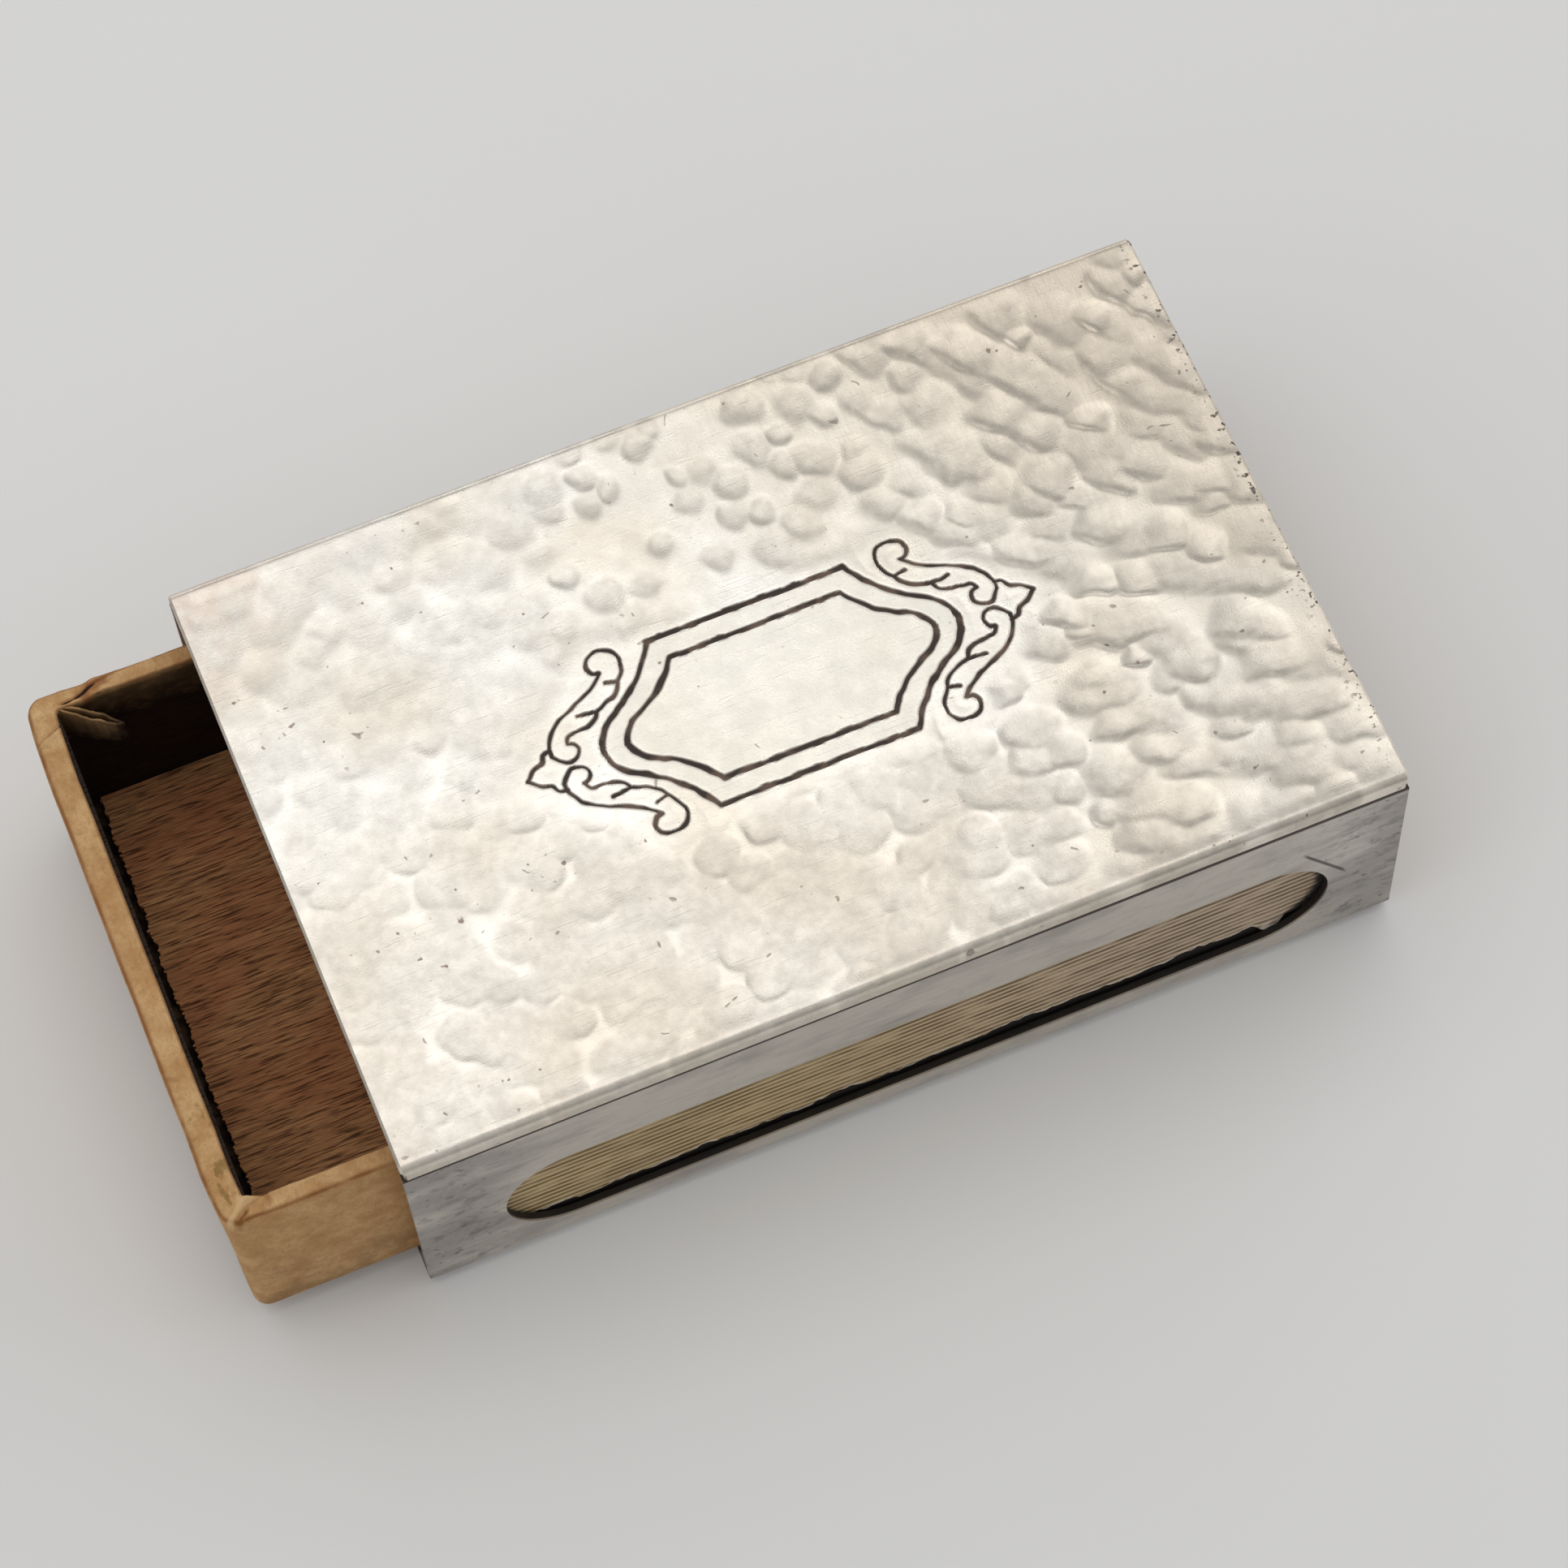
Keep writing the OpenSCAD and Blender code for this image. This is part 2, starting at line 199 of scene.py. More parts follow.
class Shader:
    """A material, built up from nodes that work on places in the object, in metres."""

    def __init__(self, name):
        self.material = bpy.data.materials.new(name)
        self.material.use_nodes = True
        self.tree = self.material.node_tree
        self.surface = self.tree.nodes["Principled BSDF"]
        self.place = self.node("ShaderNodeTexCoord").outputs["Object"]

    def node(self, kind, inputs=None, **settings):
        made = self.tree.nodes.new(kind)
        for name, value in settings.items():
            setattr(made, name, value)
        for key, value in (inputs or {}).items():
            self.feed(made.inputs[key], value)
        return made

    def feed(self, socket, value):
        if isinstance(value, bpy.types.NodeSocket):
            self.tree.links.new(value, socket)
        else:
            socket.default_value = value

    def set(self, **inputs):
        """Sets the surface's own sockets, named with _ for a space."""
        for name, value in inputs.items():
            self.feed(self.surface.inputs[name.replace("_", " ")], value)

    def noise(self, size, detail=2, rough=0.5, stretch=(1, 1, 1), shift=0, bend=0):
        """Noise from 0 to 1 with lumps of about size millimetres, drawn out by stretch."""
        shrink = tuple(1 / s for s in stretch)
        place = self.node(
            "ShaderNodeMapping", {"Vector": self.place, "Scale": shrink, "Location": (shift * mm,) * 3}
        )
        return self.node("ShaderNodeTexNoise", {
            "Vector": place.outputs[0], "Scale": 1 / (size * mm), "Detail": detail,
            "Roughness": rough, "Distortion": bend,
        }).outputs["Fac"]

    def axis(self, letter):
        return self.node("ShaderNodeSeparateXYZ", {0: self.place}).outputs[letter]

    def attribute(self, name):
        return self.node("ShaderNodeAttribute", attribute_name=name).outputs["Fac"]

    def ramp(self, value, low, high, to_low=0.0, to_high=1.0):
        """Smooth rise from to_low to to_high while value goes from low to high."""
        return self.node("ShaderNodeMapRange", {
            "Value": value, "From Min": low, "From Max": high, "To Min": to_low, "To Max": to_high,
        }, interpolation_type="SMOOTHSTEP").outputs[0]

    def math(self, operation, a, b=0.0):
        return self.node("ShaderNodeMath", {0: a, 1: b}, operation=operation).outputs[0]

    def product(self, first, *others):
        for other in others:
            first = self.math("MULTIPLY", first, other)
        return first

    def mix(self, share, a, b):
        return self.node("ShaderNodeMix", {0: share, 6: a, 7: b}, data_type="RGBA").outputs[2]

    def bump(self, height, depth, under=None):
        """Normal of a surface whose height, from 0 to 1, stands for depth millimetres."""
        inputs = {"Height": height, "Distance": depth * mm, "Strength": 1.0}
        if under is not None:
            inputs["Normal"] = under
        return self.node("ShaderNodeBump", inputs).outputs[0]


groove_brown = srgb(56, 43, 36)
seam_brown = srgb(54, 38, 28)


def seam_spread(s):
    """How much farther the seam's dark line spreads to each side towards the right end, in metres."""
    return s.ramp(s.axis("X"), 0.0, 15 * mm, 0.0, 0.08 * mm)


def hammered_silver():
    """Worn, softly polished silver: bright ridges, tarnished hollows with painted shade on the near sides of
    the right-hand dents, dark lines in the engraving.
    """
    s = Shader("hammered_silver")
    # Broad tone: warmer along the front and toward the back right corner, calm inside the cartouche
    cloud = s.ramp(s.noise(9, detail=3), 0.35, 0.7)
    mottle = s.ramp(s.noise(0.9, detail=4, rough=0.65, shift=31), 0.5, 0.78)
    colour = s.mix(cloud, srgb(251, 248, 240), srgb(239, 230, 215))
    near_front = s.ramp(s.axis("Y"), -13 * mm, 1 * mm, 0.35, 0.0)
    colour = s.mix(near_front, colour, srgb(236, 222, 204))
    colour = s.mix(s.product(mottle, 0.3), colour, srgb(208, 200, 188))
    far_right = s.ramp(s.math("ADD", s.axis("X"), s.axis("Y")), 2 * mm, 38 * mm)
    colour = s.mix(far_right, colour, srgb(229, 217, 199))
    field = s.attribute("field")
    colour = s.mix(s.product(field, 0.7), colour, srgb(233, 228, 216))
    # Tarnish in the dents, with painted shade on their near sides on the right, brushed marks on the right,
    # a stain at the back left corner
    dent_tarnish_and_shade = s.attribute("dent_tarnish_and_shade")
    uneven = s.ramp(s.noise(0.7, detail=4, rough=0.6, shift=58), 0.3, 0.7, 0.6, 1.15)
    colour = s.mix(s.product(dent_tarnish_and_shade, uneven), colour, srgb(176, 168, 157))
    brushed = s.noise(0.13, detail=3, rough=0.6, stretch=(1, 9, 1), shift=37, bend=0.3)
    brushed = s.product(s.ramp(brushed, 0.4, 0.7), s.product(far_right, 0.3))
    colour = s.mix(brushed, colour, srgb(190, 178, 164))
    from_front_right = s.math("SUBTRACT", s.axis("Y"), s.axis("X"))
    back_left = s.ramp(from_front_right, half_len + 4 * mm, half_len + half_w)
    patches = s.ramp(s.noise(1.4, detail=4, rough=0.65, shift=83), 0.3, 0.7, 0.25, 0.9)
    colour = s.mix(s.product(back_left, patches), colour, srgb(214, 194, 178))
    # Grain, specks, curved hairs, and pits along the right end
    grain = s.noise(0.12, detail=3, rough=0.7, shift=5)
    colour = s.mix(s.ramp(grain, 0.35, 0.7, 0.0, 0.16), colour, srgb(196, 188, 176))
    specks = s.ramp(s.noise(0.55, detail=1, shift=77), 0.74, 0.79)
    patchy = s.ramp(s.noise(7, detail=2, shift=17), 0.45, 0.6, 0.1, 0.8)
    colour = s.mix(s.product(specks, patchy), colour, srgb(120, 98, 84))
    curve = s.math("ABSOLUTE", s.math("SUBTRACT", s.noise(3.2, detail=1, shift=91), 0.5))
    short = s.ramp(s.noise(1.1, detail=1, shift=29), 0.70, 0.74)
    hair = s.product(s.ramp(curve, 0.004, 0.012, 1.0, 0.0), short)
    colour = s.mix(s.product(hair, 0.6), colour, srgb(118, 104, 92))
    end_wear = s.ramp(s.axis("X"), half_len - 1.2 * mm, half_len)
    pits = s.ramp(s.noise(0.35, detail=2, shift=11), 0.60, 0.66)
    pits = s.product(pits, end_wear)
    colour = s.mix(pits, colour, srgb(60, 52, 46))
    # Dark engraving and seam
    groove = s.attribute("groove")
    rubbed = s.ramp(s.noise(1.6, detail=2, shift=52), 0.45, 0.65, 0.0, 0.6)
    colour = s.mix(groove, colour, s.mix(rubbed, groove_brown, srgb(128, 104, 88)))
    from_seam = s.math("SUBTRACT", s.axis("Z"), seam_spread(s))
    seam = s.ramp(from_seam, seam_z + 0.10 * mm, seam_z + 0.17 * mm, 1.0, 0.0)
    colour = s.mix(seam, colour, seam_brown)
    dark = s.math("MAXIMUM", s.math("MAXIMUM", groove, seam), pits)
    # Finish: dull where it is dark
    scratches = s.ramp(s.noise(0.14, detail=2, stretch=(18, 1, 1), shift=3, bend=0.4), 0.6, 0.75)
    roughness = s.ramp(s.noise(1.2, detail=3, shift=9), 0.3, 0.7, 0.25, 0.36)
    roughness = s.math("ADD", roughness, s.product(dark, 0.4))
    normal = s.bump(grain, 0.010)
    normal = s.bump(scratches, 0.004, under=normal)
    normal = s.bump(hair, 0.012, under=normal)
    s.set(
        Base_Color=colour, Metallic=s.math("SUBTRACT", 1.0, s.product(dark, 0.9)),
        Roughness=roughness, Normal=normal,
    )
    return s.material


def satin_silver():
    """Satin silver sheet: grey tarnish at its ends, fine streaks, and black painted shade on the cut edges
    and inner faces of its slots.
    """
    s = Shader("satin_silver")
    # Tarnish, streaks along the length, smudges and specks, all stronger by the ends
    ends = s.math("ABSOLUTE", s.axis("X"))
    near_ends = s.ramp(ends, half_len - 9 * mm, half_len)
    blotch = s.noise(3.2, detail=3, rough=0.55, stretch=(2.4, 1, 1), shift=2)
    tarnish = s.ramp(s.math("ADD", blotch, s.product(near_ends, 0.20)), 0.45, 0.78)
    colour = s.mix(s.product(tarnish, 0.8), srgb(210, 204, 195), srgb(160, 155, 152))
    streaks = s.ramp(s.noise(0.22, detail=4, rough=0.6, stretch=(14, 1, 1.2), shift=8), 0.42, 0.75)
    colour = s.mix(s.product(streaks, 0.35), colour, srgb(168, 163, 157))
    smudge = s.ramp(s.noise(1.1, detail=6, rough=0.75, stretch=(1.8, 1, 1), shift=48), 0.48, 0.66)
    smudge = s.product(smudge, s.ramp(near_ends, 0.0, 1.0, 0.15, 0.65))
    colour = s.mix(smudge, colour, srgb(122, 118, 118))
    specks = s.ramp(s.noise(0.4, detail=3, stretch=(1.6, 1, 1), shift=61), 0.62, 0.70)
    colour = s.mix(s.product(specks, s.product(near_ends, 0.7)), colour, srgb(96, 92, 92))
    # Dark seam, and black painted shade on the slots' cut edges and the inner faces behind them
    from_seam = s.math("ADD", s.axis("Z"), seam_spread(s))
    seam = s.ramp(from_seam, seam_z - 0.13 * mm, seam_z - 0.07 * mm)
    colour = s.mix(seam, colour, seam_brown)
    slot_end = s.ramp(ends, slot_reach, slot_reach + 0.1 * mm, 1.0, 0.0)
    slot_top = s.ramp(s.axis("Z"), slot_high, slot_high + 0.1 * mm, 1.0, 0.0)
    slot_edge_shade = s.ramp(s.math("ABSOLUTE", s.axis("Y")), half_w - 0.14 * mm, half_w - 0.06 * mm, 1.0, 0.0)
    slot_bottom = s.ramp(s.axis("Z"), slot_low - 0.1 * mm, slot_low)
    slot_edge_shade = s.product(slot_edge_shade, slot_end, slot_top, slot_bottom)
    colour = s.mix(slot_edge_shade, colour, srgb(20, 16, 14))
    # One slanting scratch by the front slot's right end
    scratch_x, scratch_z, scratch_fall = 24.2 * mm, 9.8 * mm, 1.5
    along = s.math("SUBTRACT", s.axis("X"), scratch_x)
    off_line = s.math("ADD", s.math("SUBTRACT", s.axis("Z"), scratch_z), s.product(along, scratch_fall))
    in_reach = s.ramp(s.math("ABSOLUTE", along), 1.1 * mm, 1.5 * mm, 0.9, 0.0)
    at_front = s.ramp(s.axis("Y"), 0.0, mm, 1.0, 0.0)
    line = s.ramp(s.math("ABSOLUTE", off_line), 0.10 * mm, 0.28 * mm, 1.0, 0.0)
    colour = s.mix(s.product(line, in_reach, at_front), colour, srgb(84, 76, 72))
    # Finish: dull where it is dark
    dull = s.math("MAXIMUM", seam, slot_edge_shade)
    grain = s.noise(0.15, detail=3, rough=0.7, shift=6)
    waves = s.noise(5, detail=1, stretch=(2, 1, 1), shift=12)
    normal = s.bump(waves, 0.10)
    normal = s.bump(grain, 0.008, under=normal)
    s.set(
        Base_Color=colour, Metallic=s.math("SUBTRACT", 1.0, s.product(dull, 0.9)),
        Roughness=s.ramp(tarnish, 0, 1, 0.38, 0.5), Normal=normal,
    )
    return s.material


def striking_paper():
    """Tan striking strip, printed with fine lines along its length and dusted with grit."""
    s = Shader("striking_paper")
    # Printed lines, worn in places, on paper that is greyer toward the right
    pitch = 0.52 * mm
    wander = s.product(s.noise(14, detail=1, shift=4), 0.25 * mm)
    phase = s.math("FRACT", s.math("DIVIDE", s.math("ADD", s.axis("Z"), wander), pitch))
    line = s.ramp(s.math("ABSOLUTE", s.math("SUBTRACT", phase, 0.5)), 0.12, 0.3)
    worn = s.ramp(s.noise(0.5, detail=3, stretch=(5, 1, 1), shift=14), 0.3, 0.6, 0.35, 1.0)
    greyer = s.ramp(s.axis("X"), -12 * mm, 20 * mm)
    plain = s.mix(greyer, srgb(206, 182, 139), srgb(206, 184, 158))
    printed = s.mix(greyer, srgb(118, 96, 58), srgb(112, 94, 74))
    colour = s.mix(s.product(line, worn), plain, printed)
    # Stains, and pale fibres where it is torn
    stain = s.ramp(s.noise(3, detail=3, stretch=(3, 1, 1), shift=41), 0.45, 0.8)
    colour = s.mix(s.product(stain, 0.45), colour, srgb(122, 104, 84))
    torn = s.product(s.attribute("torn"), s.ramp(s.noise(0.5, detail=3, shift=36), 0.35, 0.6))
    colour = s.mix(torn, colour, srgb(230, 220, 206))
    # A black crescent of painted shadow, with some grime, where the slot's round right end overhangs the
    # strip
    end_r = (slot_high - slot_low) / 2
    past_middle = s.math("SUBTRACT", s.axis("X"), slot_reach - end_r)
    above_middle = s.math("SUBTRACT", s.axis("Z"), (slot_high + slot_low) / 2)
    squares = s.math("ADD", s.product(past_middle, past_middle), s.product(above_middle, above_middle))
    ragged = s.product(s.noise(0.7, detail=3, rough=0.6, shift=53), 0.6 * mm)
    from_middle = s.math("ADD", s.math("SQRT", squares), ragged)
    inner_side = s.ramp(from_middle, end_r - 0.45 * mm, end_r + 0.15 * mm)
    outer_side = s.ramp(from_middle, end_r + 0.3 * mm, end_r + 1.1 * mm, 1.0, 0.0)
    on_right = s.ramp(past_middle, 0.0, 3 * mm)
    colour = s.mix(s.product(inner_side, outer_side, on_right), colour, srgb(26, 20, 16))
    # Grit
    grit = s.noise(0.08, detail=2, shift=22)
    colour = s.mix(s.ramp(grit, 0.62, 0.72, 0.0, 0.6), colour, srgb(84, 70, 54))
    normal = s.bump(s.math("ADD", grit, line), 0.02)
    s.set(Base_Color=colour, Roughness=0.85, Normal=normal)
    return s.material


def kraft_paper():
    """Creased, fibrous brown paper, stained olive on the open end's rim, with black painted shade inside the
    tray.
    """
    s = Shader("kraft_paper")
    # Cloudy brown with fibres
    cloud = s.ramp(s.noise(1.6, detail=4, rough=0.6), 0.3, 0.7)
    colour = s.mix(cloud, srgb(207, 169, 120), srgb(184, 140, 92))
    mottle = s.ramp(s.noise(0.45, detail=4, rough=0.65, shift=46), 0.48, 0.72)
    colour = s.mix(s.product(mottle, 0.4), colour, srgb(164, 120, 76))
    fibres = s.ramp(s.noise(0.18, detail=4, rough=0.7, stretch=(1, 2.5, 1), shift=3), 0.4, 0.75)
    colour = s.mix(s.product(fibres, 0.35), colour, srgb(160, 118, 74))
    # Olive stains on the front half of the open end's rim
    stain = s.ramp(s.noise(0.9, detail=3, rough=0.6, stretch=(1, 1.8, 1), shift=18), 0.56, 0.66)
    at_end = s.ramp(s.axis("X"), tray_low.x + 0.9 * mm, tray_low.x + 1.5 * mm, 1.0, 0.0)
    at_front = s.ramp(s.axis("Y"), -9 * mm, -3 * mm, 1.0, 0.0)
    on_top = s.ramp(s.axis("Z"), tray_high.z - 1.0 * mm, tray_high.z - 0.3 * mm)
    stain = s.product(stain, on_top, s.product(at_end, at_front))
    colour = s.mix(s.product(stain, 0.7), colour, srgb(122, 98, 44))
    # Flecks, and darker, patchy colour low on the walls
    flecks = s.ramp(s.noise(0.14, detail=3, rough=0.8, shift=63), 0.52, 0.7)
    colour = s.mix(s.product(flecks, 0.4), colour, srgb(138, 100, 62))
    low_down = s.ramp(s.axis("Z"), tray_low.z, tray_low.z + 8 * mm, 0.6, 0.0)
    darker_low_down = s.product(low_down, s.ramp(s.noise(2.2, detail=5, rough=0.65, shift=19), 0.35, 0.65))
    colour = s.mix(darker_low_down, colour, srgb(128, 98, 66))
    # Darker fold lines, painted shade in pressed creases, lighter raised creases and black painted shade
    # inside the tray, from the masks of the mesh
    patchy = s.ramp(s.noise(1.5, detail=2, shift=66), 0.25, 0.6, 0.5, 1.0)
    colour = s.mix(s.product(s.attribute("edge"), patchy, 0.85), colour, srgb(128, 74, 36))
    raised = s.attribute("raised")
    colour = s.mix(s.product(raised, 0.6), colour, srgb(226, 192, 142))
    uneven = s.ramp(s.noise(0.7, detail=4, shift=71), 0.3, 0.6, 0.88, 1.0)
    colour = s.mix(s.product(s.attribute("inner_shade"), uneven), colour, srgb(26, 13, 7))
    grain = s.noise(0.1, detail=4, rough=0.7, shift=7)
    creases = s.noise(0.8, detail=3, stretch=(1, 2, 1), shift=27)
    normal = s.bump(creases, 0.06)
    normal = s.bump(grain, 0.02, under=normal)
    s.surface.inputs["Specular IOR Level"].default_value = 0.2
    s.set(Base_Color=colour, Roughness=0.85, Normal=normal)
    return s.material


def wood(name, light, dark, pore_shade=0.22):
    """Sawn veneer with its grain along X, and short pores that are pore_shade of the dark colour."""
    s = Shader(name)
    grain = s.noise(0.11, detail=4, rough=0.75, stretch=(22, 1, 1), shift=3, bend=0.2)
    bands = s.noise(1.8, detail=2, stretch=(7, 1, 1), shift=21)
    pores = s.ramp(s.noise(0.10, detail=3, stretch=(18, 1, 1), shift=44), 0.53, 0.66)
    tint = s.ramp(s.noise(4.5, detail=2, stretch=(1.5, 1, 1), shift=33), 0.4, 0.6)
    colour = s.mix(s.ramp(grain, 0.36, 0.64), dark, light)
    colour = s.mix(s.ramp(bands, 0.35, 0.7, 0.0, 0.35), colour, dark)
    reddish = tuple(c * share for c, share in zip(dark[:3], (1.3, 0.95, 0.95))) + (1,)
    colour = s.mix(s.product(tint, 0.4), colour, reddish)
    darkest = tuple(c * pore_shade for c in dark[:3]) + (1,)
    colour = s.mix(s.product(pores, 0.85), colour, darkest)
    s.surface.inputs["Specular IOR Level"].default_value = 0.2
    s.set(Base_Color=colour, Roughness=0.8, Normal=s.bump(s.math("SUBTRACT", grain, pores), 0.05))
    return s.material


def sleeve_paper():
    """Matt cream paper, aged, with black painted shadow low on its sides, most behind the slots."""
    s = Shader("sleeve_paper")
    cloud = s.ramp(s.noise(2.5, detail=4, rough=0.6), 0.35, 0.75)
    colour = s.mix(cloud, srgb(198, 180, 143), srgb(170, 148, 110))
    shade_top = 5.2 * mm
    side_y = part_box("sleeve_paper")[1].y - 0.25 * mm
    # Black painted shadow low on the sides, strongest behind the slots
    low = s.ramp(s.axis("Z"), shade_top - 1 * mm, shade_top, 1.0, 0.0)
    side = s.ramp(s.math("ABSOLUTE", s.axis("Y")), side_y - 0.3 * mm, side_y)
    by_slot = s.ramp(s.math("ABSOLUTE", s.axis("X")), slot_reach, slot_reach + 1.5 * mm, 1.0, 0.35)
    colour = s.mix(s.product(low, side, by_slot), colour, srgb(30, 22, 18))
    fibres = s.noise(0.12, detail=4, rough=0.7, shift=5)
    s.set(Base_Color=colour, Roughness=0.85, Normal=s.bump(fibres, 0.015))
    return s.material


# Hammered and engraved top plate

side_rows = 4
bend_rows = 13


def spaced(half, fine_half, coarse, fine):
    """Grid lines from -half to half, close together around the middle."""
    outer = np.linspace(-half, -fine_half, int((half - fine_half) / coarse) + 1)[:-1]
    middle = np.linspace(-fine_half, fine_half, int(2 * fine_half / fine) + 1)
    return np.concatenate([outer, middle, -outer[::-1]])


def toward_right(x):
    """Rises from 0 to 1 over the plate's right half, where the blows are long and deep."""
    return smooth_step((x / half_len - 0.05) / 0.6)


def far_middle_share(x, y):
    """1 by the middle of the plate's back edge, where the dents are small, crisp and apart."""
    return smooth_step((y / half_w - 0.2) / 0.4) * smooth_step((0.45 - abs(x) / half_len) / 0.3)


def hammer_blows():
    """Every dent: place, half sizes along and across, the way it lies, depth, squareness and lean."""
    pitch = 2.35 * mm
    wander = 0.7 * mm
    row_pitch = pitch * math.sqrt(3) / 2
    rows = int(half_w / row_pitch)
    columns = int(half_len / pitch) + 1
    for j in range(-rows, rows + 1):
        for i in range(-columns, columns + 1):
            x = (i + 0.5 * (j % 2)) * pitch + wander * scatter(i, j, 1)
            y = j * row_pitch + wander * scatter(i, j, 2)
            across = y / half_w
            right = toward_right(x)
            far_middle = far_middle_share(x, y)
            if scatter(i, j, 3) < -1 + 0.6 * far_middle + 0.35 * right:
                continue
            usual = 1.45 - 0.2 * right - 0.5 * far_middle
            size = (usual + (0.3 + 0.15 * right) * scatter(i, j, 4)) * mm
            stretch = 1 + right * (0.5 + 0.5 * scatter(i, j, 5))
            turn = math.radians(-15 - 45 * smooth_step((across + 0.1) / 0.9) + 12 * scatter(i, j, 6))
            pebbled = smooth_step((0.2 - across) / 0.5) * (1 - right)
            depth = (0.055 + 0.08 * right + 0.015 * far_middle) * (1 + 0.4 * scatter(i, j, 7)) * mm
            lean = 0.2 + 0.5 * right
            yield x, y, size * stretch, size * 0.95, turn, depth, 1 + 1.2 * pebbled, lean


def hammering(x_lines, y_lines):
    """Height of the hammered face over the flat sheet, on a grid of Y rows and X columns."""
    softness = 0.018 * mm
    ragged = 0.25 * mm
    largest_power = 40
    total = np.ones((len(y_lines), len(x_lines)))
    flat_x, flat_y = np.meshgrid(x_lines, y_lines)
    ragged_x = flat_x + ragged * soft_noise(flat_x, flat_y, 1.1 * mm, 17)
    ragged_y = flat_y + ragged * soft_noise(flat_x, flat_y, 1.1 * mm, 18)
    for x, y, along, across, turn, depth, squareness, lean in hammer_blows():
        reach = 1.8 * max(along, across)
        columns = slice(*np.searchsorted(x_lines, [x - reach, x + reach]))
        rows = slice(*np.searchsorted(y_lines, [y - reach, y + reach]))
        dx = ragged_x[rows, columns] - x
        dy = ragged_y[rows, columns] - y
        u = dx * math.cos(turn) + dy * math.sin(turn)
        v = dy * math.cos(turn) - dx * math.sin(turn)
        v = v / np.where(v > 0, 1 + lean, 1 - 0.6 * lean)
        q = ((u / along) ** 2 + (v / across) ** 2) ** squareness
        total[rows, columns] += np.exp(np.minimum(-depth * (q - 1) / softness, largest_power))
    return -softness * np.log(total)


def ornament_lines():
    """Engraved lines as (points, line width), in metres on the plate."""
    lines = []
    inner_len = 1 - 2 * cartouche_gap / cartouche_len
    inner_w = 1 - 2 * cartouche_gap / cartouche_w
    corner = ogee.index((5.77, 5.35))
    for shrink_x, shrink_y in ((1, 1), (inner_len, inner_w)):
        for part in (ogee[: corner + 1], ogee[corner:]):
            lines.append(([(x * shrink_x, y * shrink_y) for x, y in part], cartouche_line_w))
    lines += [(line, scroll_line_w) for line in scroll_lines]
    for points, width in lines:
        quarter = smooth_line(points, 0.03) * mm
        for flip_x in (1, -1):
            for flip_y in (1, -1):
                yield quarter * (flip_x, flip_y) + ornament_at, width


def distance_to_ornament(x, y):
    """Distance to the nearest engraved line, and that line's width, for grids of places."""
    points, widths = [], []
    for line, width in ornament_lines():
        points.extend(line)
        widths.extend([width] * len(line))
    tree = KDTree(len(points))
    for index, (px, py) in enumerate(points):
        tree.insert((px, py, 0), index)
    tree.balance()
    reach_x, reach_y = 18 * mm, 9 * mm
    distance = np.full(x.shape, reach_y)
    width = np.full(x.shape, scroll_line_w)
    near = (abs(x) < reach_x) & (abs(y) < reach_y)
    for place in np.argwhere(near):
        place = tuple(place)
        found = tree.find((x[place], y[place], 0))
        distance[place] = found[2]
        width[place] = widths[found[1]]
    return distance, width


def inside_cartouche(x, y):
    """1 inside the cartouche and 0 outside it."""
    slope = smooth_line(ogee, 0.2) * mm
    half_height = np.interp(abs(x - ornament_at[0]), slope[:, 0], slope[:, 1], right=0)
    return (abs(y - ornament_at[1]) < half_height).astype(float)


def plate_profile():
    """Rows round the plate's outside from the front seam to the back: Y, Z and the way out."""
    flat_half = half_w - bend_r
    drop = np.linspace(seam_z, top_z - bend_r, side_rows + 1)[:-1]
    bend = np.linspace(0, math.pi / 2, bend_rows)
    y = np.concatenate([np.full(side_rows, -half_w), -flat_half - bend_r * np.cos(bend)])
    z = np.concatenate([drop, top_z - bend_r + bend_r * np.sin(bend)])
    out_y = np.concatenate([np.full(side_rows, -1.0), -np.cos(bend)])
    out_z = np.concatenate([np.zeros(side_rows), np.sin(bend)])
    flat = spaced(flat_half, 6.6 * mm, 0.14 * mm, 0.06 * mm)[1:-1]
    y = np.concatenate([y, flat, -y[::-1]])
    z = np.concatenate([z, np.full(len(flat), top_z), z[::-1]])
    out_y = np.concatenate([out_y, np.zeros(len(flat)), -out_y[::-1]])
    out_z = np.concatenate([out_z, np.ones(len(flat)), out_z[::-1]])
    return y, z, out_y, out_z


def tarnish_and_shade_in_dents(xx, yy, dents):
    """How dark each dent is: tarnish, more on the right, where the extra darkness on each dent's near side
    is painted shade.
    """
    right = toward_right(xx)
    slope = np.gradient(dents, axis=0) / np.maximum(np.gradient(yy[:, 0]), 0.01 * mm)[:, None]
    # The near side of each dent on the right gets painted shade
    near_side_shade = smooth_step((0.10 - slope) / 0.14)
    near_front = smooth_step(-yy / (0.6 * half_w))
    strength = 0.30 + 0.32 * right + 0.12 * far_middle_share(xx, yy) + 0.12 * near_front * (1 - right)
    depth = smooth_step(-dents / ((0.035 + 0.06 * right) * mm))
    return strength * depth * (1 - 0.55 * right * (1 - near_side_shade))


